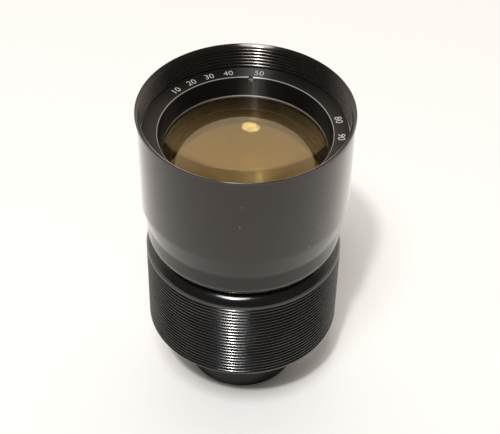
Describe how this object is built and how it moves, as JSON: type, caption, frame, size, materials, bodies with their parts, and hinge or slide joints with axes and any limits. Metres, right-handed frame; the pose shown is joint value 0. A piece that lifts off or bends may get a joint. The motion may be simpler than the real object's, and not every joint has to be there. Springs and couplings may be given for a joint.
{
  "type": "projection lens",
  "caption": "Fast film projection lens in black metal, with a grooved hood, coated glasses, a threaded focusing sleeve and a narrow rear nose.",
  "frame": {"origin": "centre of the rear nose's end face, which the lens stands on", "axes": "+Z along the optical axis, from the film end up to the front rim; -Y is the side that faces the camera of the picture"},
  "size_m": [0.057, 0.057, 0.0918],
  "materials": {
    "satin_black": "satin black anodised",
    "gloss_black": "glossy black anodised",
    "matt_black": "matt black",
    "coated_glass": "polished, with an amber coating"
  },
  "bodies": {
    "root": {"front_barrel": "satin_black", "name_ring": "satin_black", "front_element": "coated_glass", "front_spacer": "matt_black", "front_crown": "coated_glass", "front_flint": "coated_glass", "focus_sleeve": "gloss_black", "rear_barrel": "satin_black", "nose_lock_ring": "matt_black", "baffle_tube": "matt_black", "stop_disc": "matt_black", "rear_crown": "coated_glass", "rear_flint": "coated_glass", "pair_ring": "matt_black", "rear_element": "coated_glass", "field_spacer": "matt_black", "field_element": "coated_glass", "rear_ring": "matt_black"}
  },
  "joints": []
}
